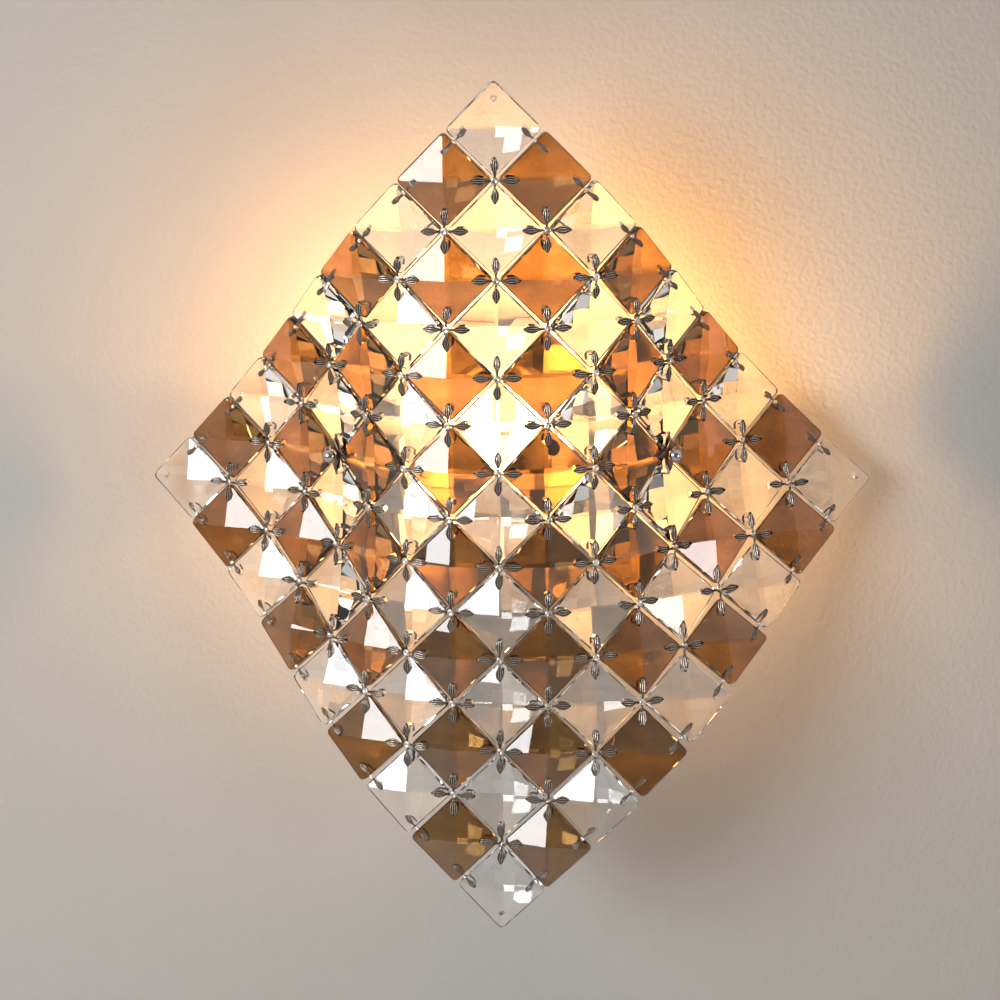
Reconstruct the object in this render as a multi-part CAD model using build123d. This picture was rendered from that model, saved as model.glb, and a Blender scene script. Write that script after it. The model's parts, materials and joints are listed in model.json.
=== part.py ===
from build123d import *
from math import acos, cos, pi, radians, sin, sqrt
import os

# Crystal wall sconce, in millimetres. The wall is the plane Y = 0, the light faces -Y and Z is up.
# The origin is on the wall behind the strap, level with the widest row of crystals.

# --- driving dimensions: crystals ---
CRYSTALS_A_SIDE = 9
CRYSTAL_SIDE = 27.6
CRYSTAL_GAP = 2.4
CRYSTAL_THICKNESS = 10.0
GIRDLE = 3.2
HOLE_INSET = 7.6
HOLE_ACROSS = 2.3

# --- driving dimensions: the bell shape of the net ---
RIDGE_OFF_WALL = 96.0
FRONT_RADIUS = 84.0
FLANK_ANGLE = 46.0
FLARE_RADIUS = 162.0
WING_ANGLE = 17.0
BOW_AT_TIPS = 8.0
TIP_HEIGHT = 190.0
LEFT_STEEPER_UP = 0.14
LEFT_FLATTER_AWAY = 0.34
RIGHT_STEEPER_UP = 0.36
RIGHT_FLATTER_AWAY = 0.43
FLANK_REFERENCE = 100.0
TURN_PER_MM = 0.0005
PROFILE_PARTS = 24

# --- driving dimensions: clips ---
BOSS_RISE = 1.1
NOTCH_RADIUS = 1.9
PETAL_WIDEST_SHARE = 0.6
PETAL_HALF_WIDTH = 1.9
PRONG_HALF_WIDTH = 0.45
PRONG_INSIDE = 0.5
PRONG_OUTSIDE = 0.6
PRONG_LENGTH = 11.0
BOW_LIFT = 0.3
BOW_HALF_WIDTH = 1.0
BOW_PETAL_HALF_WIDTH = 1.3
SEAT_CLEARANCE = 0.05

# --- driving dimensions: ball screws and what they clamp ---
BALL_STEPS_OUT = 4
BALL_ROW = 8
BALL_RADIUS = 3.65
BALL_SEAT_RADIUS = 2.2
BALL_BANDS = 7
BALL_SIDES = 16
SCREW_RADIUS = 1.4
SCREW_CLEARANCE = 0.15
ANCHOR_RADIUS = 2.6
STAR_TIP = 7.7
STAR_NOTCH = 3.4
STAR_THICKNESS = 0.8
BACK_WASHER_RADIUS = 4.5
BACK_WASHER_THICKNESS = 1.0
SPACER_RADIUS = 3.0
SCREW_TAIL = 4.0

# --- driving dimensions: wall strap, back box, bow strip ---
BOX_WIDTH = 60.0
BOX_HEIGHT = 80.0
BOX_DEPTH = 20.0
BOX_WALL = 1.2
BOX_CORNER = 4.0
STRAP_WIDTH = 24.0
STRAP_THICKNESS = 2.0
STRAP_TAB = 12.0
STRAP_TAB_WIDTH = 12.0
STRAP_CLEARANCE = 0.3
SLOT_SPACING = 60.0
SLOT_LENGTH = 10.0
WALL_HOLE = 4.5
CABLE_HOLE = 14.0
BOW_WIDTH = 14.0
BOW_THICKNESS = 2.0
BOW_BEND_TO_HOLE = 9.0
BOW_END = 7.0
BOW_BEND_CLEARANCE = 0.7
LID_SCREW_RADIUS = 1.6
LID_SCREW_HEAD = 3.0
HEAD_HEIGHT = 1.8

# --- driving dimensions: lamp and lamp holder ---
LAMP_OFF_WALL = 54.0
HOLDER_BASE_Z = -18.0
HOLDER_WIDTH = 18.0
HOLDER_DEPTH = 12.0
HOLDER_HEIGHT = 22.0
HOLDER_CHAMFER = 1.0
FOOT_WIDTH = 16.0
FOOT_THICKNESS = 1.5
FOOT_UPRIGHT = 18.0
PIN_SPACING = 9.0
PIN_WIDTH = 2.4
PIN_THICKNESS = 1.0
PIN_LENGTH = 12.0
PIN_CLEARANCE = 0.3
PINCH_WIDTH = 13.0
PINCH_DEPTH = 4.5
PINCH_HEIGHT = 9.0
GLASS_RADIUS = 6.8
GLASS_HEIGHT = 33.0
GLASS_SHOULDER = 3.0
GLASS_SIDES = 24
GLASS_TIP_RADIUS = 3.2

# --- driving dimensions: small screws and wiring ---
SMALL_ROUND_SIDES = 8
THREAD_CLEARANCE = 0.1
FRONT_SCREW_RADIUS = 1.5
FRONT_SCREW_HEAD = 3.0
FRONT_SCREW_X = 20.0
FOOT_SCREW_X = 5.0
FOOT_SCREW_Z = -31.0
FRONT_SCREW_TAIL = 3.0
LID_SCREW_OFF_WALL = 8.0
LID_SCREW_LENGTH = 6.0
HOLDER_SCREW_DEPTH = 6.0
TERMINAL_WIDTH = 22.0
TERMINAL_DEPTH = 13.0
TERMINAL_HEIGHT = 11.0
TERMINAL_Z = 15.0
WIRE_WAY = 3.2
WIRE_HOLE_Z = -10.0
WIRE_HOLE_RADIUS = 4.0

# --- values worked out from them ---
PITCH = CRYSTAL_SIDE + CRYSTAL_GAP
STEP = PITCH / sqrt(2)
CRYSTAL_CORNER = CRYSTAL_SIDE / sqrt(2)
HOLE_OUT = CRYSTAL_CORNER - HOLE_INSET
MIDDLE_ROW = CRYSTALS_A_SIDE
LAST = CRYSTALS_A_SIDE
PARTS = "parts"


def flank_share(side, height):
    """How steep the flank stands at a height, as a share of its steepness at the widest row."""
    up = height / FLANK_REFERENCE
    if side < 0:
        return 1 + LEFT_STEEPER_UP * up - LEFT_FLATTER_AWAY * up**2
    return 1 + RIGHT_STEEPER_UP * up - RIGHT_FLATTER_AWAY * up**2


def slope_at(run):
    """Slope of the bell in radians, a run away from the ridge: front arc, flare arc, straight wing."""
    flank = radians(FLANK_ANGLE)
    wing = radians(WING_ANGLE)
    if run < FRONT_RADIUS * flank:
        return run / FRONT_RADIUS
    return max(wing, flank - (run - FRONT_RADIUS * flank) / FLARE_RADIUS)


def net_point(across, row):
    """A point of the net's middle: lattice steps across from the ridge, and rows down from the top."""
    height = (MIDDLE_ROW - row) * STEP
    side = -1 if across < 0 else 1
    part = abs(across) * STEP / PROFILE_PARTS
    share = flank_share(side, height)
    slopes = [slope_at((k + 0.5) * part) * share for k in range(PROFILE_PARTS)]
    x = side * part * sum(cos(slope) for slope in slopes)
    back = part * sum(sin(slope) for slope in slopes)
    back = back - BOW_AT_TIPS * (height / TIP_HEIGHT) ** 2 + x * sin(TURN_PER_MM * height)
    return Vector(x, back - RIDGE_OFF_WALL, height)


def crystal_plane(i, j):
    """Plane through a crystal's middle: X to its right corner, Y to its top corner, Z out of its front."""
    across = i - j
    row = i + j + 1
    left = net_point(across - 1, row)
    right = net_point(across + 1, row)
    top = net_point(across, row - 1)
    bottom = net_point(across, row + 1)
    middle = (left + right + top + bottom) / 4
    out = (right - left).cross(top - bottom).normalized()
    return Plane(origin=middle, x_dir=(right - left), z_dir=out)


def polyhedron(points, faces):
    """A solid from its corner points and the point numbers of each flat face."""
    sides = [Face(Wire.make_polygon([points[k] for k in face], close=True)) for face in faces]
    solid = Solid(Shell(sides))
    return solid if solid.volume > 0 else Solid(Shell([-side for side in sides]))


def turned(profile, sides):
    """A turned shape drawn with flats, from its (radius, height) points, none of them on the axis."""
    points = []
    for radius, height in profile:
        points += [Vector(radius, 0, height).rotate(Axis.Z, 360 * k / sides) for k in range(sides)]
    faces = [tuple(range(sides)), tuple(range(len(points) - sides, len(points)))]
    for low in range(0, len(points) - sides, sides):
        for k in range(sides):
            after = (k + 1) % sides
            faces.append((low + k, low + after, low + sides + after, low + sides + k))
    return polyhedron(points, faces)


def make_crystal():
    """A square crystal on its point: shallow pyramids front and back of a girdle, a hole at each corner."""
    corners = [(CRYSTAL_CORNER, 0), (0, CRYSTAL_CORNER), (-CRYSTAL_CORNER, 0), (0, -CRYSTAL_CORNER)]
    square = make_face(Polyline(*corners, close=True))
    body = extrude(Plane.XY.offset(-GIRDLE / 2) * square, amount=GIRDLE)
    for side in (1, -1):
        edge = Plane.XY.offset(side * GIRDLE / 2) * square
        body += loft([edge.face(), Vertex(0, 0, side * CRYSTAL_THICKNESS / 2)], ruled=True)
    drill = Rectangle(HOLE_ACROSS / sqrt(2), HOLE_ACROSS / sqrt(2), rotation=45)
    for corner in PolarLocations(HOLE_OUT, 4):
        body -= extrude(corner * drill, amount=CRYSTAL_THICKNESS / 2, both=True)
    return body.solid()


CRYSTAL = make_crystal()


def front_height(out):
    """Height of the front ridge over the crystal's middle plane, a distance out from its centre."""
    return CRYSTAL_THICKNESS / 2 - (CRYSTAL_THICKNESS - GIRDLE) / 2 * out / CRYSTAL_CORNER


def holes_round(a, b):
    """The crystals that meet at a net node, as (plane, direction from the crystal's centre to the node)."""
    meeting = [((a, b - 1), (-1, 0)), ((a - 1, b - 1), (0, -1)), ((a - 1, b), (1, 0)), ((a, b), (0, 1))]
    inside = range(CRYSTALS_A_SIDE)
    return [(crystal_plane(*ij), way) for ij, way in meeting if ij[0] in inside and ij[1] in inside]


def on_ridge(plane, way, out, lift=0.0):
    """A point on a crystal's front ridge, a distance out from its centre towards one corner."""
    return plane.from_local_coords((way[0] * out, way[1] * out, front_height(out) + lift))


def petal(under, plane, way, tip, half_width):
    """One petal as points (wide, prong, tip, prong, wide) round its lower face, and its prong's point."""
    reach = (tip - under).length
    out = (tip - under).normalized()
    across = plane.z_dir.cross(out).normalized()
    wide = under + out * (reach * PETAL_WIDEST_SHARE)
    neck = under + out * (reach - PRONG_OUTSIDE - PRONG_INSIDE)
    ring = [wide - across * half_width, neck - across * PRONG_HALF_WIDTH, tip]
    ring += [neck + across * PRONG_HALF_WIDTH, wide + across * half_width]
    end = on_ridge(plane, way, HOLE_OUT) - plane.z_dir * PRONG_LENGTH
    return ring, end


def clip_solid(under, out, petals, notches):
    """A clip as one solid: a raised boss, petals in their own planes, and a tapered prong under each tip."""
    points = [under + out * BOSS_RISE, under]
    faces = []
    rings = []
    for ring, end in petals:
        first = len(points)
        points += ring + [end]
        rings.append(range(first, first + 6))
    first_notch = len(points)
    points += notches
    for k, (w1, p1, tip, p2, w2, end) in enumerate(rings):
        notch = first_notch + k
        after = rings[(k + 1) % len(rings)][0]
        faces += [(0, w1, p1), (0, p1, tip), (0, tip, p2), (0, p2, w2), (0, w2, notch), (0, notch, after)]
        faces += [(1, w2, p2, p1, w1), (1, notch, w2), (1, after, notch)]
        faces += [(p1, end, tip), (tip, end, p2), (p2, end, p1)]
    return polyhedron(points, faces)


def node_frame(a, b):
    """Middle of a net node and the way out of the net's front there."""
    planes = [plane for plane, way in holes_round(a, b)]
    out = sum((plane.z_dir for plane in planes), Vector(0, 0, 0)).normalized()
    return net_point(a - b, a + b), out


def boss_under(a, b):
    """The underside of a clip's boss, high enough for straight petals to pass over the crystals' corners."""
    middle, out = node_frame(a, b)
    highest = -CRYSTAL_THICKNESS
    for plane, way in holes_round(a, b):
        corner = on_ridge(plane, way, CRYSTAL_CORNER) - middle
        tip = on_ridge(plane, way, HOLE_OUT - PRONG_OUTSIDE) - middle
        corner_up = corner.dot(out)
        corner_out = (corner - out * corner_up).length
        tip_up = tip.dot(out)
        tip_out = (tip - out * tip_up).length
        needed = corner_up + (corner_up - tip_up) * corner_out / (tip_out - corner_out)
        highest = max(highest, corner_up, needed)
    return middle + out * (highest + 2 * SEAT_CLEARANCE), out


def four_petal_clip(a, b, notch_radius=NOTCH_RADIUS):
    """The clip that ties four crystals together at an inner node of the net."""
    under, out = boss_under(a, b)
    petals = []
    for plane, way in holes_round(a, b):
        tip = on_ridge(plane, way, HOLE_OUT - PRONG_OUTSIDE, SEAT_CLEARANCE)
        petals.append(petal(under, plane, way, tip, PETAL_HALF_WIDTH))
    ways = [(ring[2] - under).normalized() for ring, end in petals]
    notches = []
    for k, way in enumerate(ways):
        between = (way + ways[(k + 1) % len(ways)]).normalized()
        notches.append(under + between * notch_radius)
    return clip_solid(under, out, petals, notches)


def two_petal_clip(a, b):
    """The bow that ties two crystals together at the border of the net, straight from hole to hole."""
    pair = holes_round(a, b)
    seats = [on_ridge(plane, way, HOLE_OUT, SEAT_CLEARANCE) for plane, way in pair]
    out = (pair[0][0].z_dir + pair[1][0].z_dir).normalized()
    under = (seats[0] + seats[1]) / 2 + out * BOW_LIFT
    petals = []
    for (plane, way), seat in zip(pair, seats):
        tip = seat + (seat - under).normalized() * PRONG_OUTSIDE
        petals.append(petal(under, plane, way, tip, BOW_PETAL_HALF_WIDTH))
    along = (seats[1] - seats[0]).normalized()
    across = out.cross(along)
    notches = [under - across * BOW_HALF_WIDTH, under + across * BOW_HALF_WIDTH]
    if (petals[0][0][4] - under).dot(across) > 0:
        notches.reverse()
    return clip_solid(under, out, petals, notches)


def save(node, solids):
    """Write one node's solids, each a separate piece, to its STEP file."""
    shapes = list(solids)
    shape = shapes[0] if len(shapes) == 1 else Compound(children=shapes)
    export_step(shape, os.path.join(PARTS, node + ".step"))


def ball_nodes():
    """The two net nodes that hang on the ball screws: name, and lattice place."""
    a = (BALL_ROW + BALL_STEPS_OUT) // 2
    b = BALL_ROW - a
    return {"left": (b, a), "right": (a, b)}


def write_net():
    """Rows of crystals of one colour, rows of four-petal clips, and the bows along the four borders."""
    for total in range(2 * CRYSTALS_A_SIDE - 1):
        row = [(i, total - i) for i in range(CRYSTALS_A_SIDE) if 0 <= total - i < CRYSTALS_A_SIDE]
        save(f"crystal_row_{total + 1:02d}", [crystal_plane(i, j) * CRYSTAL for i, j in row])
    anchored = list(ball_nodes().values())
    for total in range(2, 2 * LAST - 1):
        row = [(a, total - a) for a in range(1, LAST) if 1 <= total - a < LAST]
        clips = [four_petal_clip(a, b) for a, b in row if (a, b) not in anchored]
        save(f"four_petal_clips_row_{total - 1:02d}", clips)
    borders = {
        "upper_left": [(0, k) for k in range(1, LAST)],
        "upper_right": [(k, 0) for k in range(1, LAST)],
        "lower_left": [(k, LAST) for k in range(1, LAST)],
        "lower_right": [(LAST, k) for k in range(1, LAST)],
    }
    for name, nodes in borders.items():
        save(f"border_clips_{name}", [two_petal_clip(a, b) for a, b in nodes])


def screw_plane(side):
    """Plane under the star washer, clear of its clip: Z is level and runs along the screw out of the net."""
    a, b = ball_nodes()[side]
    middle = net_point(a - b, a + b)
    under, out = boss_under(a, b)
    level = Vector(out.X, out.Y, 0).normalized()
    tops = [under + out * BOSS_RISE]
    for plane, way in holes_round(a, b):
        tip = on_ridge(plane, way, HOLE_OUT - PRONG_OUTSIDE, SEAT_CLEARANCE)
        share = STAR_TIP / (tip - under).length
        tops.append(under + (tip - under) * share + out * BOSS_RISE * (1 - share))
    highest = max((top - middle).dot(level) for top in tops)
    return Plane(origin=middle + level * (highest + SEAT_CLEARANCE), x_dir=(0, 0, 1), z_dir=level)


def shank(radius):
    """Outline of a small shank out of sight, drawn with flats inside its true round."""
    return RegularPolygon(radius, SMALL_ROUND_SIDES)


def drill(radius, sides=SMALL_ROUND_SIDES):
    """Outline of a small hole, drawn with flats outside its true round."""
    return RegularPolygon(radius, sides, major_radius=False)


FRONT_SCREW_HOLE = drill(FRONT_SCREW_RADIUS + THREAD_CLEARANCE)


def along(plane, outline, start, end):
    """An outline drawn out along a plane's axis, between two heights over the plane."""
    return extrude(plane.offset(start) * outline, amount=end - start)


def anchor_clip(side):
    """The four-petal clip under a star washer, broader round its boss and drilled for the ball screw."""
    clip = four_petal_clip(*ball_nodes()[side], notch_radius=ANCHOR_RADIUS)
    hole = along(screw_plane(side), drill(SCREW_RADIUS + SCREW_CLEARANCE), -CRYSTAL_THICKNESS, 0)
    return (clip - hole).solid()


def star_washer(side):
    """A washer with four drawn-out points and hollow sides, one point over each crystal corner."""
    plane = screw_plane(side)
    tips = [(STAR_TIP, 0), (0, STAR_TIP), (-STAR_TIP, 0), (0, -STAR_TIP)]
    dent = STAR_NOTCH / sqrt(2)
    dents = [(dent, dent), (-dent, dent), (-dent, -dent), (dent, -dent)]
    outline = [point for pair in zip(tips, dents) for point in pair]
    star = make_face(Polyline(*outline, close=True)) - drill(SCREW_RADIUS + SCREW_CLEARANCE)
    return extrude(plane * star, amount=STAR_THICKNESS).solid()


def bow_end(side):
    """Where a ball screw crosses the middle of the bow strip, and the strip's bend inboard of it."""
    plane = screw_plane(side)
    out = plane.z_dir
    outboard = Vector(-out.Y, out.X, 0) if side == "right" else Vector(out.Y, -out.X, 0)
    flat_y = -(BOX_DEPTH + BOW_THICKNESS / 2)
    crossing_x = plane.origin.X - out.X * (plane.origin.Y - flat_y) / out.Y
    room_past_box = abs(outboard.X) * (abs(crossing_x) - BOX_WIDTH / 2 - BOW_BEND_CLEARANCE)
    bend_to_hole = min(BOW_BEND_TO_HOLE, room_past_box)
    length = (plane.origin.Y - flat_y - outboard.Y * bend_to_hole) / out.Y
    hole = plane.origin - out * length
    bend = hole - outboard * bend_to_hole
    return plane, length, hole, bend, outboard


def ball_screw(side):
    """A ball on a long thin screw that clamps the net and ends in the bow strip."""
    plane, length, *_ = bow_end(side)
    tail = length + BOW_THICKNESS / 2 + SCREW_TAIL + STAR_THICKNESS
    profile = [(SCREW_RADIUS, -tail), (SCREW_RADIUS, 0)]
    rise = sqrt(BALL_RADIUS**2 - BALL_SEAT_RADIUS**2)
    seat_angle = acos(rise / BALL_RADIUS)
    for band in range(BALL_BANDS):
        angle = seat_angle + (pi - seat_angle) * band / BALL_BANDS
        profile.append((BALL_RADIUS * sin(angle), rise - BALL_RADIUS * cos(angle)))
    return plane.offset(STAR_THICKNESS) * turned(profile, BALL_SIDES)


def back_of_net(side):
    """How far behind the screw plane the crystals' back corners end."""
    plane = screw_plane(side)
    depths = []
    for crystal, way in holes_round(*ball_nodes()[side]):
        for reach in (CRYSTAL_CORNER, CRYSTAL_CORNER - BACK_WASHER_RADIUS):
            point = crystal.from_local_coords((way[0] * reach, way[1] * reach, -front_height(reach)))
            depths.append(-plane.to_local_coords(point).Z)
    return max(depths) + SEAT_CLEARANCE


def back_washer(side):
    """The flat washer that the four crystal corners bear on from the front."""
    plane = screw_plane(side)
    depth = back_of_net(side)
    ring = RegularPolygon(BACK_WASHER_RADIUS, 2 * SMALL_ROUND_SIDES) - drill(SCREW_RADIUS + SCREW_CLEARANCE)
    return along(plane, ring, -depth - BACK_WASHER_THICKNESS, -depth).solid()


def spacer(side):
    """The tube on the ball screw that holds the net off the bow strip."""
    plane, length, *_ = bow_end(side)
    front = back_of_net(side) + BACK_WASHER_THICKNESS
    ring = RegularPolygon(SPACER_RADIUS, 2 * SMALL_ROUND_SIDES) - drill(SCREW_RADIUS + SCREW_CLEARANCE)
    return along(plane, ring, BOW_THICKNESS / 2 - length, -front).solid()


def hole_y(x, z, outline, near, far):
    """A drill along Y at a place on the wall, between two distances off the wall."""
    return extrude(Plane(origin=(x, -near, z), z_dir=(0, -1, 0)) * outline, amount=far - near)


def bow_strip():
    """A flat strip across the back box, its two ends bent square to the ball screws and tapped for them."""
    ends = {side: bow_end(side) for side in ("left", "right")}
    path = []
    for side in ("left", "right"):
        plane, length, hole, bend, outboard = ends[side]
        pair = [hole + outboard * BOW_END, bend]
        path += pair if side == "left" else pair[::-1]
    level = ends["left"][0].origin.Z
    back = []
    front = []
    half = BOW_THICKNESS / 2
    for k, point in enumerate(path):
        before = (path[k] - path[k - 1]).normalized() if k > 0 else (path[1] - path[0]).normalized()
        after = (path[k + 1] - path[k]).normalized() if k < 3 else before
        lean = (before + after).normalized()
        side_way = Vector(-lean.Y, lean.X, 0) * (half / lean.dot(before))
        back.append(point + side_way)
        front.append(point - side_way)
    outline = [(point.X, point.Y) for point in back + front[::-1]]
    strip = make_face(Polyline(*outline, close=True))
    strip = extrude(Plane.XY.offset(level - BOW_WIDTH / 2) * strip, amount=BOW_WIDTH)
    for side in ("left", "right"):
        plane, length, *_ = ends[side]
        tapped = drill(SCREW_RADIUS + THREAD_CLEARANCE)
        strip -= along(plane, tapped, -length - BOW_THICKNESS, BOW_THICKNESS - length)
    for x in (-FRONT_SCREW_X, FRONT_SCREW_X):
        strip -= hole_y(x, level, FRONT_SCREW_HOLE, BOX_DEPTH, BOX_DEPTH + BOW_THICKNESS)
    return strip.solid()


def bow_level():
    """Height of the bow strip, which is that of the net's row of ball screws."""
    return (MIDDLE_ROW - BALL_ROW) * STEP


def lid_screw_holes():
    """One drill right through both ends of the back box and the strap's tabs."""
    drilled = Pos(0, -LID_SCREW_OFF_WALL, 0) * drill(LID_SCREW_RADIUS + THREAD_CLEARANCE)
    return extrude(drilled, amount=BOX_HEIGHT, both=True)


def pan_outline(width, height, corner):
    """A rectangle on the wall with its four corners cut off."""
    outline = Rectangle(width, height)
    return Plane.XZ * chamfer(outline.vertices(), corner)


def back_box():
    """The pan over the wiring: open at the wall, its corners cut off, a lid screw's hole in each end."""
    skin = BOX_DEPTH - BOX_WALL
    outer = pan_outline(BOX_WIDTH, BOX_HEIGHT, BOX_CORNER)
    inner = pan_outline(BOX_WIDTH - 2 * BOX_WALL, BOX_HEIGHT - 2 * BOX_WALL, BOX_CORNER - BOX_WALL / sqrt(2))
    box = extrude(outer, amount=BOX_DEPTH) - extrude(inner, amount=skin)
    for x in (-FRONT_SCREW_X, FRONT_SCREW_X):
        box -= hole_y(x, bow_level(), FRONT_SCREW_HOLE, skin, BOX_DEPTH)
    for x in (-FOOT_SCREW_X, FOOT_SCREW_X):
        box -= hole_y(x, FOOT_SCREW_Z, FRONT_SCREW_HOLE, skin, BOX_DEPTH)
    box -= hole_y(0, WIRE_HOLE_Z, drill(WIRE_HOLE_RADIUS, 2 * SMALL_ROUND_SIDES), skin, BOX_DEPTH)
    return (box - lid_screw_holes()).solid()


def wall_strap():
    """The strap that is screwed to the wall: two slots, a cable hole and a tapped tab at each end."""
    length = BOX_HEIGHT - 2 * BOX_WALL - 2 * STRAP_CLEARANCE
    strap = Box(STRAP_WIDTH, STRAP_THICKNESS, length, align=(Align.CENTER, Align.MAX, Align.CENTER))
    for end in (-1, 1):
        tab = Box(STRAP_TAB_WIDTH, STRAP_TAB, STRAP_THICKNESS, align=(Align.CENTER, Align.MAX, Align.CENTER))
        strap += Pos(0, 0, end * (length - STRAP_THICKNESS) / 2) * tab
    slot = Plane.XZ * SlotOverall(SLOT_LENGTH, WALL_HOLE, rotation=90)
    for z in (-SLOT_SPACING / 2, SLOT_SPACING / 2):
        strap -= Pos(0, 0, z) * extrude(slot, amount=STRAP_THICKNESS)
    strap -= hole_y(0, 0, Circle(CABLE_HOLE / 2), 0, STRAP_THICKNESS)
    return (strap - lid_screw_holes()).solid()


def lamp_foot():
    """An angle bracket: its upright is screwed to the back box and its shelf carries the lamp holder."""
    upright = Box(FOOT_WIDTH, FOOT_THICKNESS, FOOT_UPRIGHT, align=(Align.CENTER, Align.MAX, Align.MAX))
    reach = LAMP_OFF_WALL + HOLDER_DEPTH / 2 - BOX_DEPTH
    shelf = Box(FOOT_WIDTH, reach, FOOT_THICKNESS, align=(Align.CENTER, Align.MAX, Align.MAX))
    foot = Pos(0, -BOX_DEPTH, HOLDER_BASE_Z) * (upright + shelf)
    for x in (-FOOT_SCREW_X, FOOT_SCREW_X):
        foot -= hole_y(x, FOOT_SCREW_Z, FRONT_SCREW_HOLE, BOX_DEPTH, BOX_DEPTH + FOOT_THICKNESS)
    return (foot - lamp_place(0) * extrude(FRONT_SCREW_HOLE, amount=-FOOT_THICKNESS)).solid()


def lamp_place(height):
    """A place on the lamp's axis, at a height over the lamp holder's base."""
    return Pos(0, -LAMP_OFF_WALL, HOLDER_BASE_Z + height)


def upward(width, depth, height):
    """A block that stands on its place."""
    return Box(width, depth, height, align=(Align.CENTER, Align.CENTER, Align.MIN))


def lamp_holder():
    """The ceramic block, with two slots from the top for the lamp's pins and a tapped hole for its screw."""
    holder = upward(HOLDER_WIDTH, HOLDER_DEPTH, HOLDER_HEIGHT)
    slot_width = PIN_WIDTH + 2 * PIN_CLEARANCE
    slot_depth = PIN_THICKNESS + 2 * PIN_CLEARANCE
    bottom = HOLDER_HEIGHT - PIN_LENGTH - PIN_CLEARANCE
    for x in (-PIN_SPACING / 2, PIN_SPACING / 2):
        holder -= Pos(x, 0, bottom) * upward(slot_width, slot_depth, HOLDER_HEIGHT)
    holder -= extrude(FRONT_SCREW_HOLE, amount=HOLDER_SCREW_DEPTH)
    top = holder.faces().sort_by(Axis.Z)[-1].outer_wire().edges()
    holder = chamfer(top, HOLDER_CHAMFER)
    return (lamp_place(0) * holder).solid()


def lamp_glass():
    """The lamp's glass: a flat pinched foot, a round capsule over it, and a short shoulder up to its tip."""
    pinch = upward(PINCH_WIDTH, PINCH_DEPTH, PINCH_HEIGHT)
    top = PINCH_HEIGHT + GLASS_HEIGHT
    profile = [(GLASS_RADIUS, PINCH_HEIGHT), (GLASS_RADIUS, top - GLASS_SHOULDER), (GLASS_TIP_RADIUS, top)]
    return (lamp_place(HOLDER_HEIGHT) * (pinch + turned(profile, GLASS_SIDES))).solid()


def lamp_pins():
    """The two pins under the pinched foot."""
    place = lamp_place(HOLDER_HEIGHT - PIN_LENGTH)
    pin = upward(PIN_WIDTH, PIN_THICKNESS, PIN_LENGTH)
    return [(place * Pos(x, 0, 0) * pin).solid() for x in (-PIN_SPACING / 2, PIN_SPACING / 2)]


def screw(plane, radius, head, length):
    """A hexagon-head screw: its head stands on the plane and its shank runs back along it."""
    cap = extrude(plane * RegularPolygon(head, 6), amount=HEAD_HEIGHT)
    return (cap + extrude(plane * shank(radius), amount=-length)).solid()


def front_screw_places():
    """Where the four screws on the front of the back box sit: x, z, and the thickness under the head."""
    places = [(x, bow_level(), BOW_THICKNESS) for x in (-FRONT_SCREW_X, FRONT_SCREW_X)]
    return places + [(x, FOOT_SCREW_Z, FOOT_THICKNESS) for x in (-FOOT_SCREW_X, FOOT_SCREW_X)]


def front_screws():
    """The screws that hold the bow strip and the lamp foot on the back box."""
    screws = []
    for x, z, grip in front_screw_places():
        plane = Plane(origin=(x, -BOX_DEPTH - grip, z), x_dir=(1, 0, 0), z_dir=(0, -1, 0))
        screws.append(screw(plane, FRONT_SCREW_RADIUS, FRONT_SCREW_HEAD, grip + BOX_WALL + FRONT_SCREW_TAIL))
    return screws


def lid_screws():
    """The two screws through the ends of the back box into the strap's tabs."""
    screws = []
    for end in (-1, 1):
        seat = (0, -LID_SCREW_OFF_WALL, end * BOX_HEIGHT / 2)
        plane = Plane(origin=seat, x_dir=(1, 0, 0), z_dir=(0, 0, end))
        screws.append(screw(plane, LID_SCREW_RADIUS, LID_SCREW_HEAD, LID_SCREW_LENGTH))
    return screws


def holder_screw():
    """The screw up through the shelf into the lamp holder."""
    seat = (0, -LAMP_OFF_WALL, HOLDER_BASE_Z - FOOT_THICKNESS)
    plane = Plane(origin=seat, x_dir=(1, 0, 0), z_dir=(0, 0, -1))
    reach = FOOT_THICKNESS + HOLDER_SCREW_DEPTH - THREAD_CLEARANCE
    return screw(plane, FRONT_SCREW_RADIUS, FRONT_SCREW_HEAD, reach)


def terminal_block():
    """The three-way terminal block on the strap, with a wire way through it for each pole."""
    block = Box(TERMINAL_WIDTH, TERMINAL_DEPTH, TERMINAL_HEIGHT)
    for pole in (-1, 0, 1):
        block -= Pos(pole * TERMINAL_WIDTH / 3, 0, 0) * Box(WIRE_WAY, WIRE_WAY, TERMINAL_HEIGHT)
    return (Pos(0, -STRAP_THICKNESS - TERMINAL_DEPTH / 2, TERMINAL_Z) * block).solid()


def write_frame():
    """What carries the net on the wall, and what lights it."""
    for side in ("left", "right"):
        save(f"ball_screw_{side}", [ball_screw(side)])
        save(f"star_washer_{side}", [star_washer(side)])
        save(f"anchor_clip_{side}", [anchor_clip(side)])
        save(f"back_washer_{side}", [back_washer(side)])
        save(f"spacer_{side}", [spacer(side)])
    save("bow_strip", [bow_strip()])
    save("back_box", [back_box()])
    save("wall_strap", [wall_strap()])
    save("lamp_foot", [lamp_foot()])
    save("lamp_holder", [lamp_holder()])
    save("lamp_glass", [lamp_glass()])
    save("lamp_pins", lamp_pins())
    save("front_screws", front_screws())
    save("lid_screws", lid_screws())
    save("holder_screw", [holder_screw()])
    save("terminal_block", [terminal_block()])


if __name__ == "__main__":
    os.makedirs(PARTS, exist_ok=True)
    write_net()
    write_frame()
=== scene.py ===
import json
from math import asin, cos, pi, radians, sin

import bmesh
import bpy
from mathutils import Matrix, Vector


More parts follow.
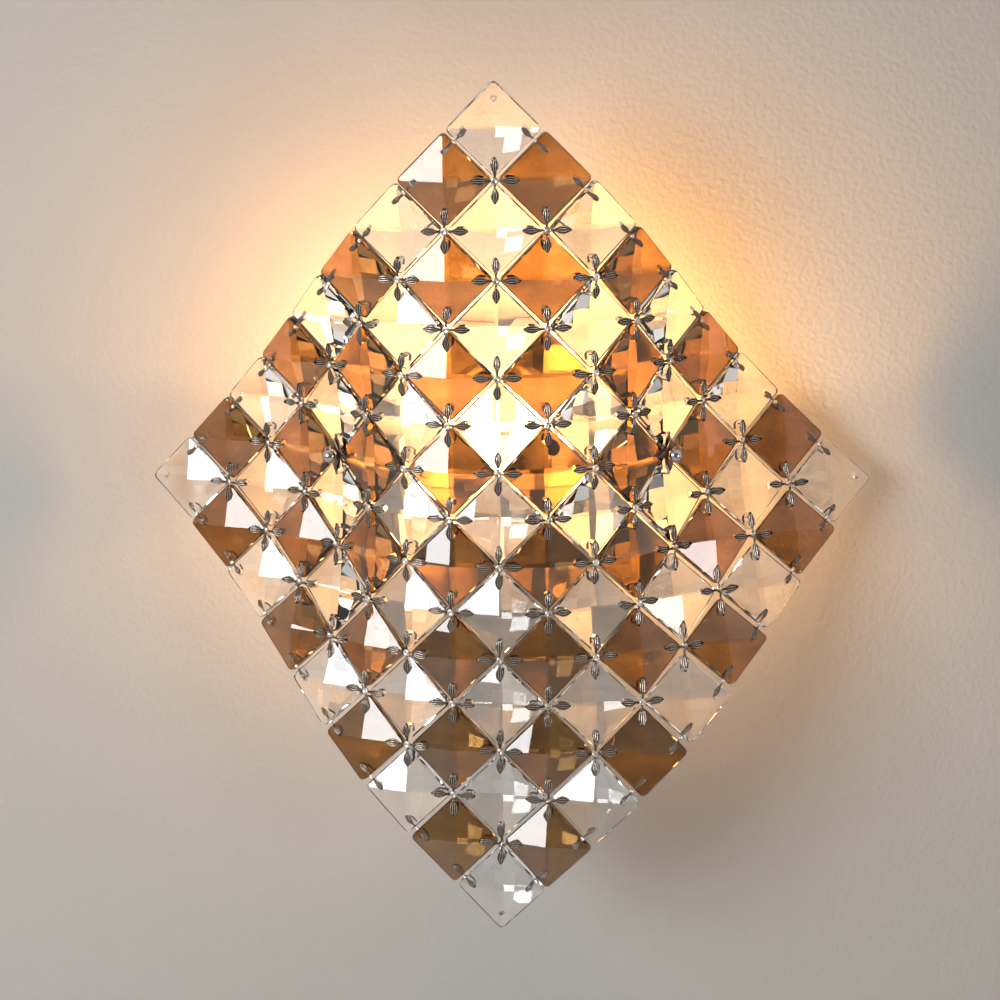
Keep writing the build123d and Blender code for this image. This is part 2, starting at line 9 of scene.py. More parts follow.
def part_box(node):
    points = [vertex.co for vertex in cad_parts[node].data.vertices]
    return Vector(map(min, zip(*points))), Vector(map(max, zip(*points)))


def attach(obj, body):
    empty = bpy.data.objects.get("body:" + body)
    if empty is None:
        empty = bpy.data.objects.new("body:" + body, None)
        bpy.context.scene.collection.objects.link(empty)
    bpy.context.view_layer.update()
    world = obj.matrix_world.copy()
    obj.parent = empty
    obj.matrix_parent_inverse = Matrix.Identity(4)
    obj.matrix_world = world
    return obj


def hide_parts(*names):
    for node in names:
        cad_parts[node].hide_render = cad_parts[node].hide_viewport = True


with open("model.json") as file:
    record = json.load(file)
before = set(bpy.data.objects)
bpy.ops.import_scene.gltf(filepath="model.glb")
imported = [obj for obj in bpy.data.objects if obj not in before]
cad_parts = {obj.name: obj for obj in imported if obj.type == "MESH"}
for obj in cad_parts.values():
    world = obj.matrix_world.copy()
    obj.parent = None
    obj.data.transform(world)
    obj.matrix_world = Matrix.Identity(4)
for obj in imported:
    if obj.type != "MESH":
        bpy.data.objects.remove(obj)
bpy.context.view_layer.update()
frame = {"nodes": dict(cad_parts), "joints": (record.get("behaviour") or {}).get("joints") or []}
nodes = frame["nodes"]
MM = 0.001
CRYSTAL_ROWS = 17
CLIP_ROWS = 15


# --- camera, at the photograph's viewing angle ---
def place_camera():
    """A long lens a metre away, a little to the right of the light and above it."""
    lift = 0.2576
    swing = 0.0588
    lean = -0.0108
    reach = 0.999
    middle = Vector((0, -0.061, 0))
    aim_shift = Vector((-0.00152, 0, -0.00022))
    eye = middle + reach * Vector((sin(swing) * cos(lift), -cos(swing) * cos(lift), sin(lift)))
    ahead = (middle + aim_shift - eye).normalized()
    right = ahead.cross(Vector((0, 0, 1))).normalized()
    up = right.cross(ahead)
    right, up = right * cos(lean) + up * sin(lean), up * cos(lean) - right * sin(lean)
    lens = bpy.data.cameras.new("camera")
    lens.lens = 79.65
    lens.sensor_width = 36
    lens.clip_start = 0.01
    camera = bpy.data.objects.new("camera", lens)
    bpy.context.scene.collection.objects.link(camera)
    camera.matrix_world = Matrix((right, up, -ahead)).transposed().to_4x4()
    camera.matrix_world.translation = eye
    bpy.context.scene.camera = camera


# --- small helpers for shapes ---
SAME_PLACE = 2e-6  # metres between two vertices that are taken as one
FLAT_WITHIN = radians(0.4)


def link(name, bm, material, body, replaced=(), smooth=False):
    """Turns a bmesh into a finished piece that rides on a body."""
    mesh = bpy.data.meshes.new(name)
    bm.to_mesh(mesh)
    bm.free()
    for face in mesh.polygons:
        face.use_smooth = smooth
    mesh.materials.append(material)
    piece = bpy.data.objects.new(name, mesh)
    bpy.context.scene.collection.objects.link(piece)
    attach(piece, body)
    if replaced:
        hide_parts(*replaced)


def welded(node):
    """A bmesh of a CAD node with its loose triangles joined at their corners."""
    bm = bmesh.new()
    bm.from_mesh(nodes[node].data)
    bmesh.ops.remove_doubles(bm, verts=bm.verts, dist=SAME_PLACE)
    return bm


def merged(node):
    """A bmesh of a CAD node with its triangles merged into whole flat faces."""
    bm = welded(node)
    bmesh.ops.dissolve_limit(bm, angle_limit=FLAT_WITHIN, verts=bm.verts, edges=bm.edges)
    return bm


def ease(bm, edges, width, segments=1):
    """Rounds or chamfers some edges."""
    bmesh.ops.bevel(bm, geom=list(edges), offset=width, offset_type="OFFSET", segments=segments,
                    profile=0.5, affect="EDGES", clamp_overlap=True, material=-1)


def folded(edge):
    """How sharply an edge is folded, in radians."""
    return edge.calc_face_angle(0.0)


def islands(bm):
    """The separate solids of a bmesh, as lists of vertices, in the same order on every run."""
    seen = set()
    for seed in bm.verts:
        if seed in seen:
            continue
        seen.add(seed)
        found = [seed]
        for vert in found:
            for edge in vert.link_edges:
                other = edge.other_vert(vert)
                if other not in seen:
                    seen.add(other)
                    found.append(other)
        yield found


def faces_of(verts):
    """The faces at some vertices, each once, in the same order on every run."""
    return list(dict.fromkeys(face for vert in verts for face in vert.link_faces))


def only(kind, geometry):
    """The items of one kind among what an operator made."""
    return [item for item in geometry if isinstance(item, kind)]


def spun(bm, profile, steps):
    """Adds a profile of (radius, height) points in millimetres, spun once round the Z axis."""
    ring = [bm.verts.new((radius * MM, 0, height * MM)) for radius, height in profile]
    edges = [bm.edges.new(pair) for pair in zip(ring, ring[1:])]
    bmesh.ops.spin(bm, geom=ring + edges, cent=(0, 0, 0), axis=(0, 0, 1), angle=2 * pi, steps=steps,
                   use_merge=True, use_normal_flip=False, use_duplicate=False)


def placed(origin, along, across, up):
    """The matrix that lays a shape's own X, Y and Z on three directions, at a place."""
    place = Matrix((along, across, up)).transposed().to_4x4()
    place.translation = origin
    return place


# --- small helpers for shaders ---
def new_material(name):
    """An empty node material, with its tree and its shader."""
    material = bpy.data.materials.new(name)
    material.use_nodes = True
    tree = material.node_tree
    shader = tree.nodes["Principled BSDF"]
    return material, tree, shader


def add(tree, kind, **settings):
    """A node with some of its settings and input values."""
    node = tree.nodes.new(kind)
    for key, value in settings.items():
        if key in node.inputs:
            node.inputs[key].default_value = value
        else:
            setattr(node, key, value)
    return node


def noise_on_object(tree, scale, detail, stretch=(1, 1, 1)):
    """Noise over the piece's own space, stretched where the finish has a grain."""
    place = add(tree, "ShaderNodeTexCoord")
    mapping = add(tree, "ShaderNodeMapping", Scale=stretch)
    noise = add(tree, "ShaderNodeTexNoise", Scale=scale, Detail=detail)
    tree.links.new(place.outputs["Object"], mapping.inputs["Vector"])
    tree.links.new(mapping.outputs["Vector"], noise.inputs["Vector"])
    return noise.outputs["Fac"]


def ramp(tree, source, low, high, colours):
    """A colour ramp between two stops of a source value."""
    node = add(tree, "ShaderNodeValToRGB")
    node.color_ramp.elements[0].position = low
    node.color_ramp.elements[1].position = high
    node.color_ramp.elements[0].color = (*colours[0], 1)
    node.color_ramp.elements[1].color = (*colours[1], 1)
    tree.links.new(source, node.inputs["Fac"])
    return node.outputs["Color"]


def colour_from(tree, shader, source, low, high, colours):
    """Base colour between two colours, following a source value."""
    tree.links.new(ramp(tree, source, low, high, colours), shader.inputs["Base Color"])


def roughness_from(tree, shader, source, low, high):
    """Roughness between two values, following a source value."""
    spread = add(tree, "ShaderNodeMapRange")
    spread.inputs["To Min"].default_value = low
    spread.inputs["To Max"].default_value = high
    tree.links.new(source, spread.inputs["Value"])
    tree.links.new(spread.outputs["Result"], shader.inputs["Roughness"])


def bump(tree, shader, height, strength, distance):
    """A bump from a height value into the shader's normal."""
    node = add(tree, "ShaderNodeBump", Strength=strength, Distance=distance)
    tree.links.new(height, node.inputs["Height"])
    tree.links.new(node.outputs["Normal"], shader.inputs["Normal"])


def either(tree, one, other):
    """A value that is 1 where either of two values is 1."""
    node = add(tree, "ShaderNodeMath", operation="MAXIMUM")
    tree.links.new(one, node.inputs[0])
    tree.links.new(other, node.inputs[1])
    return node.outputs["Value"]


def mix_to_surface(tree, share, plain, other, output):
    """Two shaders mixed by a share, sent to the surface of the output node."""
    mixed = add(tree, "ShaderNodeMixShader")
    tree.links.new(share, mixed.inputs[0])
    tree.links.new(plain, mixed.inputs[1])
    tree.links.new(other, mixed.inputs[2])
    tree.links.new(mixed.outputs["Shader"], tree.nodes[output].inputs["Surface"])


# --- materials ---
CRYSTAL_IOR = 1.7
VEINS_PER_LEAF = 3.5
GRAIN_SHADE = 0.82  # how dark plating gets in its grain, and a matt body in its pores
PORE_SHADE = 0.9
LAMP_COLOUR = (1.0, 0.5, 0.165, 1)
LAMP_STRENGTH = 700.0


def crystal_glass(name, colours):
    """Polished lead crystal: clear or stained through, with faint streaks and a hand-polished surface."""
    material, tree, shader = new_material(name)
    shader.inputs["Transmission Weight"].default_value = 1.0
    shader.inputs["IOR"].default_value = CRYSTAL_IOR
    streaks = noise_on_object(tree, scale=45, detail=3, stretch=(1, 1, 2.5))
    colour_from(tree, shader, streaks, low=0.3, high=0.7, colours=colours)
    haze = noise_on_object(tree, scale=260, detail=2)
    roughness_from(tree, shader, haze, low=0.0, high=0.012)
    return material


def petal_metal():
    """Pressed and plated leaves with ridges that run from the boss to the tip, coloured with painted shade in
    the grooves and painted highlights along the ridges.
    """
    material, tree, shader = new_material("petal_metal")
    shader.inputs["Metallic"].default_value = 1.0
    veins = add(tree, "ShaderNodeUVMap", uv_map="veins")
    split = add(tree, "ShaderNodeSeparateXYZ")
    times = add(tree, "ShaderNodeMath", operation="MULTIPLY")
    times.inputs[1].default_value = 2 * pi * VEINS_PER_LEAF
    wave = add(tree, "ShaderNodeMath", operation="SINE")
    tree.links.new(veins.outputs["UV"], split.inputs["Vector"])
    tree.links.new(split.outputs["X"], times.inputs[0])
    tree.links.new(times.outputs["Value"], wave.inputs[0])
    ribs_and_painted_light = wave.outputs["Value"]
    # Painted light: the dark stop is painted shade in the grooves, the pale stop painted highlights along the
    # ridges.
    colour_from(tree, shader, ribs_and_painted_light, low=0.25, high=0.95, colours=((0.07, 0.048, 0.034), (0.72, 0.64, 0.56)))
    wear = noise_on_object(tree, scale=900, detail=3)
    roughness_from(tree, shader, wear, low=0.12, high=0.34)
    bump(tree, shader, ribs_and_painted_light, strength=1.0, distance=0.0002)
    return material


def plated_metal(name, colour, roughness, scale, grain=(1, 1, 1)):
    """Plated metal with a fine grain and faint rubbing marks."""
    material, tree, shader = new_material(name)
    shader.inputs["Metallic"].default_value = 1.0
    marks = noise_on_object(tree, scale, detail=5, stretch=grain)
    darker = tuple(GRAIN_SHADE * part for part in colour)
    colour_from(tree, shader, marks, low=0.35, high=0.65, colours=(darker, colour))
    roughness_from(tree, shader, marks, low=roughness * 0.7, high=roughness * 1.3)
    bump(tree, shader, marks, strength=0.15, distance=0.00005)
    return material


def matt_body(name, colour, roughness, scale):
    """Fired ceramic or moulded plastic: a pale body with fine pores."""
    material, tree, shader = new_material(name)
    pores = noise_on_object(tree, scale, detail=6)
    darker = tuple(PORE_SHADE * part for part in colour)
    colour_from(tree, shader, pores, low=0.3, high=0.6, colours=(darker, colour))
    roughness_from(tree, shader, pores, low=roughness * 0.85, high=roughness * 1.15)
    bump(tree, shader, pores, strength=0.2, distance=0.0001)
    return material


def lit_glass():
    """The lamp's frosted capsule, lit from inside with a warm light."""
    material, tree, shader = new_material("lit_glass")
    shader.inputs["Roughness"].default_value = 0.35
    frost = noise_on_object(tree, scale=300, detail=3)
    colour_from(tree, shader, frost, low=0.3, high=0.7, colours=((0.92, 0.86, 0.75), (1.0, 0.96, 0.88)))
    shader.inputs["Emission Color"].default_value = LAMP_COLOUR
    shader.inputs["Emission Strength"].default_value = LAMP_STRENGTH
    return material


CLEAR = crystal_glass("clear_crystal", ((0.985, 0.985, 0.98), (1.0, 1.0, 1.0)))
AMBER = crystal_glass("amber_crystal", ((0.24, 0.123, 0.036), (0.4, 0.215, 0.066)))
PETAL_PAINTED_LIGHT = petal_metal()
BALL = plated_metal("ball_metal", (0.56, 0.49, 0.44), roughness=0.05, scale=60)
# The dark brown of the star washers and anchor clips is painted shade, for washers lit from behind.
STAR_PAINTED_SHADE = plated_metal("star_metal_painted_shade", (0.2, 0.14, 0.11), roughness=0.3, scale=200)
SHEET = plated_metal("satin_sheet", (0.84, 0.8, 0.74), roughness=0.5, scale=120, grain=(1, 1, 14))
STEEL = plated_metal("zinc_steel", (0.62, 0.63, 0.64), roughness=0.34, scale=260)
PIN = plated_metal("pin_metal", (0.66, 0.64, 0.6), roughness=0.25, scale=300, grain=(1, 1, 8))
CERAMIC = matt_body("ceramic", (0.88, 0.87, 0.83), roughness=0.4, scale=500)
PLASTIC = matt_body("terminal_plastic", (0.84, 0.84, 0.81), roughness=0.45, scale=350)
LIT = lit_glass()


# --- crystals ---
CRYSTAL_SWELL = 1.045  # the net is photographed with its crystals almost touching
HOLE_WALL_AREA = 20 * MM * MM  # faces smaller than this are taken as walls of the drilled holes
CORNER_FOLD = radians(80)
CORNER_LENGTH = 5 * MM
CORNER_ROUND = 2.2 * MM
CORNER_SEGMENTS = 4
RIM_FOLD = radians(50)
RIM_CHAMFER = 0.5 * MM


def crystal_row(row):
    """One row of crystals: the solids' facets and drilled holes, with rounded corners and a ground girdle."""
    node = f"crystal_row_{row:02d}"
    bm = merged(node)
    for verts in list(islands(bm)):
        middle = sum((vert.co for vert in verts), Vector()) / len(verts)
        bmesh.ops.scale(bm, vec=(CRYSTAL_SWELL,) * 3, space=Matrix.Translation(-middle), verts=verts)
    walls = {face for face in bm.faces if face.calc_area() < HOLE_WALL_AREA}
    plain = [edge for edge in bm.edges if not walls & set(edge.link_faces)]
    corners = [edge for edge in plain if folded(edge) > CORNER_FOLD and edge.calc_length() < CORNER_LENGTH]
    ease(bm, corners, CORNER_ROUND, CORNER_SEGMENTS)
    rim = [edge for edge in bm.edges if RIM_FOLD < folded(edge) < CORNER_FOLD and edge.is_convex]
    ease(bm, rim, RIM_CHAMFER)
    clear = row % 2 == 1
    link(f"crystals_row_{row:02d}", bm, CLEAR if clear else AMBER, "sconce",
         [node])


# --- clips, sizes in millimetres ---
# shares of a leaf's length and of its half width
LEAF_SHAPE = ((0.0, 0.24), (0.24, 0.3), (0.42, 0.78), (0.62, 1.0), (0.82, 0.72), (1.0, 0.16))
LEAF_HALF_WIDTH = 1.9
BORDER_LEAF_HALF_WIDTH = 1.3
LEAF_START = 1.2
LEAF_LIFT = 0.3
LEAF_CROWN = 0.18
LEAF_ARCH = 0.35
LEAF_THICKNESS = 0.25
PRONG_THICKNESS = 0.55
PRONG_WIDTH = 0.8
PRONG_SHIFT = 0.1
PRONG_TOP = 0.45
PRONG_SET_BACK = 0.6
PRONG_DEPTH = 6.4
PRONG_STEPS = ((0, 0, -1.2), (0, 0, 0.8 - PRONG_DEPTH),  # into the hole and through it
               (-0.25, 0, -0.6), (-0.9, 0, -0.35), (-2.2, 0, 0.55))  # the tail's three bends
# share of the boss's radius, and height
BOSS_SHAPE = ((0.0, 0.75), (0.4, 0.8), (0.75, 1.15), (1.0, 0.8), (1.0, 0.3), (0.0, 0.3))
BOSS_RADIUS = 1.7
BORDER_BOSS_RADIUS = 0.9
BOSS_DROP = 1.1
BOSS_STEPS = 10
BOSS_PAINTED_HIGHLIGHT = 1 / (4 * VEINS_PER_LEAF)  # a quarter of a wave in, where a rib's painted highlight is palest


def edge_count(vert):
    """How many edges meet at a vertex."""
    return len(vert.link_edges)


def clip_places(node):
    """Each clip of a node: the top of its boss, and the tip, prong end and cross direction of each petal."""
    bm = welded(node)
    clips = []
    for verts in islands(bm):
        top = max(verts, key=edge_count)
        petals = []
        for end in [vert for vert in verts if edge_count(vert) == 3]:
            tip, one, other = sorted((edge.other_vert(end) for edge in end.link_edges), key=edge_count)
            petals.append((tip.co.copy(), end.co.copy(), (other.co - one.co).normalized()))
        clips.append((top.co.copy(), petals))
    bm.free()
    return clips


def leaf(bm, half_width, reach):
    """A pressed leaf along +X from the boss: a crowned kite on a thin neck, arched from boss to tip."""
    made = bmesh.ops.create_grid(bm, x_segments=len(LEAF_SHAPE) - 1, y_segments=4, size=1)["verts"]
    veins = bm.loops.layers.uv.get("veins")
    for vert in made:
        station, swell = LEAF_SHAPE[round((vert.co.x + 1) / 2 * (len(LEAF_SHAPE) - 1))]
        side = vert.co.y
        crown = LEAF_CROWN * (1 - side * side) * swell + LEAF_ARCH * sin(pi * station)
        for loop in vert.link_loops:
            loop[veins].uv = (side / 2 + 0.5, station)
        along = LEAF_START * MM + station * (reach - LEAF_START * MM)
        vert.co = Vector((along, side * swell * half_width * MM, (LEAF_LIFT + crown) * MM))
    lower = bmesh.ops.extrude_face_region(bm, geom=faces_of(made))["geom"]
    below = only(bmesh.types.BMVert, lower)
    bmesh.ops.translate(bm, verts=below, vec=(0, 0, -LEAF_THICKNESS * MM))
    bmesh.ops.reverse_faces(bm, faces=only(bmesh.types.BMFace, lower))
    return made + below


def prong(bm):
    """A flat wire from the leaf's tip through the crystal's hole, its tail bent over behind."""
    made = bmesh.ops.create_grid(bm, x_segments=1, y_segments=1, size=0.5)["verts"]
    for vert in made:
        along = PRONG_SHIFT * MM + vert.co.x * PRONG_THICKNESS * MM
        vert.co = Vector((along, vert.co.y * PRONG_WIDTH * MM, PRONG_TOP * MM))
    faces = faces_of(made)
    everything = list(made)
    for step in PRONG_STEPS:
        grown = bmesh.ops.extrude_face_region(bm, geom=faces)["geom"]
        ends = only(bmesh.types.BMVert, grown)
        bmesh.ops.delete(bm, geom=faces, context="FACES_ONLY")
        bmesh.ops.translate(bm, verts=ends, vec=Vector(step) * MM)
        faces = only(bmesh.types.BMFace, grown)
        everything += ends
    return everything


def boss(bm, radius, place):
    """The dished button in the middle of a clip."""
    button = bmesh.new()
    spun(button, [(radius * share, height) for share, height in BOSS_SHAPE], BOSS_STEPS)
    veins = button.loops.layers.uv.new("veins")
    # The whole button takes that palest tone, a painted highlight.
    for face in button.faces:
        for loop in face.loops:
            loop[veins].uv = (BOSS_PAINTED_HIGHLIGHT, 0)
    bmesh.ops.transform(button, matrix=place, verts=button.verts)
    bmesh.ops.recalc_face_normals(button, faces=button.faces)
    held = bpy.data.meshes.new("button")
    button.to_mesh(held)
    button.free()
    bm.from_mesh(held)
    bpy.data.meshes.remove(held)


def petal_clips(name, node, half_width):
    """All the clips of a node, each a boss with its leaves, bent through the crystals' holes."""
    bm = bmesh.new()
    bm.loops.layers.uv.new("veins")
    for top, petals in clip_places(node):
        middle = sum((tip for tip, end, across in petals), Vector()) / len(petals)
        out = (top - middle).normalized()
        if len(petals) == 2:
            across = petals[0][2]
            out = (out - across * out.dot(across)).normalized()
        under = top - out * BOSS_DROP * MM
        for tip, end, across in petals:
            ahead = (tip - under).normalized()
            up = across.cross(ahead).normalized()
            if up.dot(out) < 0:
                up = -up
            place = placed(under, ahead, up.cross(ahead), up)
            bmesh.ops.transform(bm, matrix=place, verts=leaf(bm, half_width, (tip - under).length))
            mouth = tip - ahead * PRONG_SET_BACK * MM
            down = (end - mouth).normalized()
            ahead = (ahead - down * ahead.dot(down)).normalized()
            place = placed(mouth, ahead, ahead.cross(down), -down)
            bmesh.ops.transform(bm, matrix=place, verts=prong(bm))
        radius = BOSS_RADIUS if len(petals) == 4 else BORDER_BOSS_RADIUS
        side = (petals[0][2] - out * petals[0][2].dot(out)).normalized()
        boss(bm, radius, placed(under, side, out.cross(side), out))
    bmesh.ops.recalc_face_normals(bm, faces=bm.faces)
    link(name, bm, PETAL_PAINTED_LIGHT, "sconce", [node], smooth=True)


# --- turned pieces, sizes in millimetres ---
TURNED_STEPS = 32
TURNED_SAME_PLACE = 1e-6  # in metres
BALL_RADIUS = 3.5
BALL_SEAT_RADIUS = 2.2
BALL_STEPS = 18
SHANK_RADIUS = 1.4
SHANK_TIP_RADIUS = 1.0
SHANK_CHAMFER = 0.4
STAR_THICKNESS = 0.8
CAPSULE_FOOT = 9.0  # height at which the round body starts, above the pinch's foot
CAPSULE_BASE = ((0, 0), (4.6, 0), (6.1, 0.8), (6.8, 2.6))  # radius, height above the foot
CAPSULE_TIP = ((6.8, 6.0), (6.3, 3.6), (4.9, 1.8), (2.6, 0.8), (0, 0.5))  # radius, depth below the top
PINCH_SIZE = (13, 4.5, 9.4)
PINCH_TOP_SCALE = (0.82, 1.25, 1)
PINCH_ROUND = 0.8 * MM


def turned(name, profile, origin, axis, material, body, replaced):
    """A piece turned round an axis from its (radius, height) points in millimetres."""
    bm = bmesh.new()
    spun(bm, profile, TURNED_STEPS)
    bmesh.ops.remove_doubles(bm, verts=bm.verts, dist=TURNED_SAME_PLACE)
    bmesh.ops.recalc_face_normals(bm, faces=bm.faces)
    turn = Vector((0, 0, 1)).rotation_difference(Vector(axis)).to_matrix().to_4x4()
    turn.translation = Vector(origin)
    bmesh.ops.transform(bm, matrix=turn, verts=bm.verts)
    link(name, bm, material, body, replaced, smooth=True)


def ball_screw(side, joint):
    """A polished ball on its long screw."""
    node = f"ball_screw_{side}"
    axis = Vector(joint["axis"])
    seat = Vector(joint["pos_m"]) + axis * STAR_THICKNESS * MM
    tail = max((vert.co - seat).dot(-axis) for vert in nodes[node].data.vertices) / MM
    rise = (BALL_RADIUS**2 - BALL_SEAT_RADIUS**2) ** 0.5
    profile = [(0, -tail), (SHANK_TIP_RADIUS, -tail), (SHANK_RADIUS, -tail + SHANK_CHAMFER),
               (SHANK_RADIUS, 0), (BALL_SEAT_RADIUS, 0)]
    first = asin(BALL_SEAT_RADIUS / BALL_RADIUS)
    for k in range(1, BALL_STEPS):
        angle = first + (pi - first) * k / BALL_STEPS
        profile.append((BALL_RADIUS * sin(angle), rise - BALL_RADIUS * cos(angle)))
    profile.append((0, rise + BALL_RADIUS))
    turned(f"polished_{node}", profile, seat, axis, BALL, node, [node])


def lamp():
    """The lit capsule: a pinched foot, a round body and a drawn-off tip."""
    low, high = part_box("lamp_glass")
    middle = (low + high) / 2
    height = (high.z - low.z) / MM
    profile = [(radius, CAPSULE_FOOT + above) for radius, above in CAPSULE_BASE]
    profile += [(radius, height - below) for radius, below in CAPSULE_TIP]
    turned("lamp_capsule", profile, (middle.x, middle.y, low.z), (0, 0, 1), LIT, "lamp",
           ["lamp_glass"])
    bm = bmesh.new()
    bmesh.ops.create_cube(bm, size=1)
    bmesh.ops.scale(bm, vec=tuple(size * MM for size in PINCH_SIZE), verts=bm.verts)
    top = [vert for vert in bm.verts if vert.co.z > 0]
    bmesh.ops.scale(bm, vec=PINCH_TOP_SCALE, verts=top)
    ease(bm, bm.edges, PINCH_ROUND, segments=3)
    bmesh.ops.translate(bm, verts=bm.verts, vec=(middle.x, middle.y, low.z + PINCH_SIZE[2] / 2 * MM))
    link("lamp_pinch", bm, CLEAR, "lamp", smooth=True)


# --- plain pieces: the CAD shape with its edges eased ---
SHARP_FOLD = radians(35)
BOX_EDGE = 0.35 * MM
PLATE_EDGE = 0.25 * MM
MOULDED_EDGE = 0.4 * MM
SCREW_EDGE = 0.2 * MM
STAR_EDGE = 0.18 * MM


def eased(node, name, material, width):
    """A CAD node's shape with its sharp outer edges eased."""
    bm = merged(node)
    sharp = [edge for edge in bm.edges if folded(edge) > SHARP_FOLD and edge.is_convex]
    ease(bm, sharp, width, segments=2)
    link(name, bm, material, "sconce", [node])


def recoloured(node, material):
    """A CAD node kept as it is, with another material in its slots."""
    for place in nodes[node].material_slots:
        place.material = material


def dress_frame():
    """The wall box and everything that carries the net and the lamp."""
    eased("back_box", "box_shell", SHEET, BOX_EDGE)
    eased("bow_strip", "bow_strip_plated", SHEET, PLATE_EDGE)
    eased("lamp_foot", "lamp_foot_plated", SHEET, PLATE_EDGE)
    eased("wall_strap", "wall_strap_zinc", STEEL, PLATE_EDGE)
    eased("lamp_holder", "lamp_holder_ceramic", CERAMIC, MOULDED_EDGE)
    eased("terminal_block", "terminal_block_moulded", PLASTIC, MOULDED_EDGE)
    for node in ("front_screws", "lid_screws", "holder_screw"):
        eased(node, f"{node}_zinc", STEEL, SCREW_EDGE)
    for side in ("left", "right"):
        eased(f"star_washer_{side}", f"star_{side}", STAR_PAINTED_SHADE, STAR_EDGE)
        recoloured(f"back_washer_{side}", STEEL)
        recoloured(f"spacer_{side}", STEEL)
        recoloured(f"anchor_clip_{side}", STAR_PAINTED_SHADE)
    recoloured("lamp_pins", PIN)


# --- room and light, sizes in metres ---
PALE_ROOM = (0.86, 0.85, 0.83)
DARK_FRONT = (0.16, 0.15, 0.14)  # the part of the room ahead of the net, as crystals and metal reflect it
FRONT_FROM, FRONT_TO = -0.9, -0.2  # where that part fades into the pale room, along Y
SOFT_COLOUR = (0.95, 0.97, 1.0, 1)
SOFT_STRENGTH = 0.06
WALL_COLOUR = (0.43, 0.415, 0.385, 1)
WALL_HALF_SIZE = 1.3
WALL_GAP = 0.0006
FLOOR_COLOUR = (0.8, 0.79, 0.77, 1)
FLOOR_HALF_SIZE = 2.2
FLOOR_LEVEL = -0.65
SOFTBOX_COLOUR = (0.97, 0.98, 1.0)
SOFTBOX_AIM = Vector((0, -0.06, 0))
SOFTBOX_AWAY = 1.6


def stage_plane(name, size, matrix, material):
    """A flat surface of the room."""
    bm = bmesh.new()
    bmesh.ops.create_grid(bm, x_segments=1, y_segments=1, size=size)
    bmesh.ops.transform(bm, matrix=matrix, verts=bm.verts)
    mesh = bpy.data.meshes.new(name)
    bm.to_mesh(mesh)
    bm.free()
    mesh.materials.append(material)
    plane = bpy.data.objects.new(name, mesh)
    bpy.context.scene.collection.objects.link(plane)


def wall_paint():
    """Pale rolled paint, open from behind and to shadow rays, so that light reaches the back of the box."""
    material, tree, shader = new_material("wall_paint")
    shader.inputs["Base Color"].default_value = WALL_COLOUR
    shader.inputs["Roughness"].default_value = 0.85
    rolled = noise_on_object(tree, scale=420, detail=8)
    bump(tree, shader, rolled, strength=0.4, distance=0.0009)
    clear = add(tree, "ShaderNodeBsdfTransparent")
    facing = add(tree, "ShaderNodeNewGeometry")
    path = add(tree, "ShaderNodeLightPath")
    open_to = either(tree, facing.outputs["Backfacing"], path.outputs["Is Shadow Ray"])
    mix_to_surface(tree, open_to, shader.outputs["BSDF"], clear.outputs["BSDF"], "Material Output")
    return material


def floor_paint():
    """A plain pale floor."""
    material, _, shader = new_material("floor_paint")
    shader.inputs["Base Color"].default_value = FLOOR_COLOUR
    shader.inputs["Roughness"].default_value = 0.7
    return material


def softbox(name, bearing, lift, width, height, power):
    """A soft lamp that looks at the middle of the net from a bearing and a lift, in degrees."""
    light = bpy.data.lights.new(name, "AREA")
    light.shape = "RECTANGLE"
    light.size = width
    light.size_y = height
    light.energy = power
    light.color = SOFTBOX_COLOUR
    lamp_object = bpy.data.objects.new(name, light)
    bpy.context.scene.collection.objects.link(lamp_object)
    turn = radians(bearing)
    rise = radians(lift)
    way = Vector((sin(turn) * cos(rise), -cos(turn) * cos(rise), sin(rise)))
    lamp_object.location = SOFTBOX_AIM + SOFTBOX_AWAY * way
    lamp_object.rotation_euler = way.to_track_quat("Z", "Y").to_euler()
    lamp_object.visible_camera = False


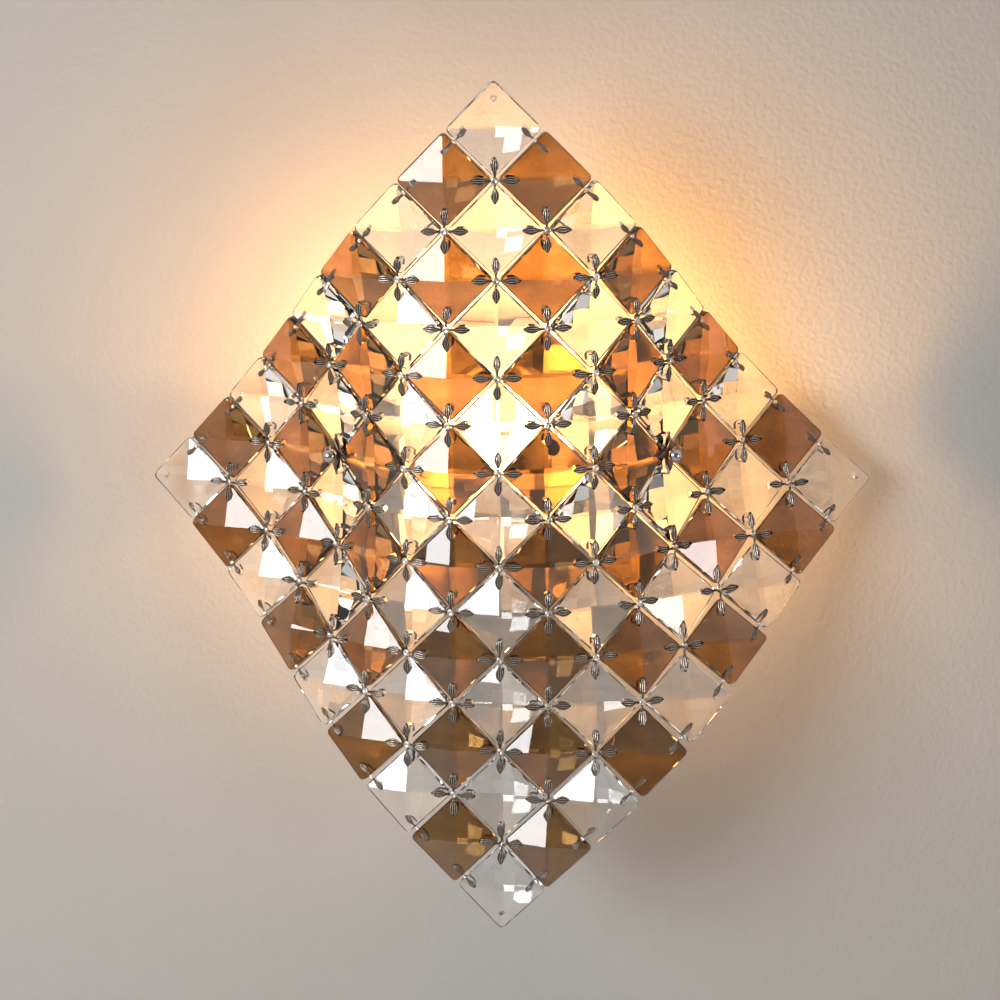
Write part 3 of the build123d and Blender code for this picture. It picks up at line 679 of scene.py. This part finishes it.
def room_background():
    """Soft light for surfaces, and a pale room to look at, which is darker in front in crystals and metal."""
    world = bpy.data.worlds.new("room")
    bpy.context.scene.world = world
    world.use_nodes = True
    tree = world.node_tree
    soft = tree.nodes["Background"]
    soft.inputs["Color"].default_value = SOFT_COLOUR
    soft.inputs["Strength"].default_value = SOFT_STRENGTH
    way = add(tree, "ShaderNodeTexCoord")
    split = add(tree, "ShaderNodeSeparateXYZ")
    tree.links.new(way.outputs["Generated"], split.inputs["Vector"])
    front = add(tree, "ShaderNodeMapRange")
    front.inputs["From Min"].default_value = FRONT_FROM
    front.inputs["From Max"].default_value = FRONT_TO
    tree.links.new(split.outputs["Y"], front.inputs["Value"])
    shade = ramp(tree, front.outputs["Result"], low=0.0, high=1.0, colours=(DARK_FRONT, PALE_ROOM))
    path = add(tree, "ShaderNodeLightPath")
    tone = add(tree, "ShaderNodeMixRGB")
    tone.inputs["Color2"].default_value = (*PALE_ROOM, 1)
    tree.links.new(path.outputs["Is Camera Ray"], tone.inputs["Fac"])
    tree.links.new(shade, tone.inputs["Color1"])
    pale = add(tree, "ShaderNodeBackground", Strength=1.0)
    tree.links.new(tone.outputs["Color"], pale.inputs["Color"])
    direct = either(tree, path.outputs["Is Camera Ray"], path.outputs["Is Glossy Ray"])
    seen = either(tree, direct, path.outputs["Is Transmission Ray"])
    mix_to_surface(tree, seen, soft.outputs["Background"], pale.outputs["Background"], "World Output")


def light_room():
    """The background, two softboxes in front and one behind the wall, and the wall and floor."""
    room_background()
    softbox("softbox_left", bearing=-38, lift=13, width=0.85, height=0.7, power=22)
    softbox("softbox_right", bearing=46, lift=-2, width=0.34, height=0.3, power=3.2)
    softbox("softbox_back", bearing=155, lift=18, width=0.9, height=0.8, power=14)
    upright = Matrix.Rotation(radians(90), 4, "X")
    wall_place = Matrix.Translation((0, WALL_GAP, FLOOR_LEVEL + WALL_HALF_SIZE))
    stage_plane("wall", WALL_HALF_SIZE, wall_place @ upright, wall_paint())
    stage_plane("floor", FLOOR_HALF_SIZE, Matrix.Translation((0, 0, FLOOR_LEVEL)), floor_paint())


place_camera()
light_room()
for row in range(1, CRYSTAL_ROWS + 1):
    crystal_row(row)
for row in range(1, CLIP_ROWS + 1):
    petal_clips(f"petal_clips_row_{row:02d}", f"four_petal_clips_row_{row:02d}", LEAF_HALF_WIDTH)
for border in ("upper_left", "upper_right", "lower_left", "lower_right"):
    petal_clips(f"border_bows_{border}", f"border_clips_{border}", BORDER_LEAF_HALF_WIDTH)
for joint in frame["joints"]:
    if joint["type"] == "hinge":
        ball_screw(joint["child"].rsplit("_", 1)[1], joint)
lamp()
dress_frame()

bpy.context.scene.view_settings.view_transform = "Standard"
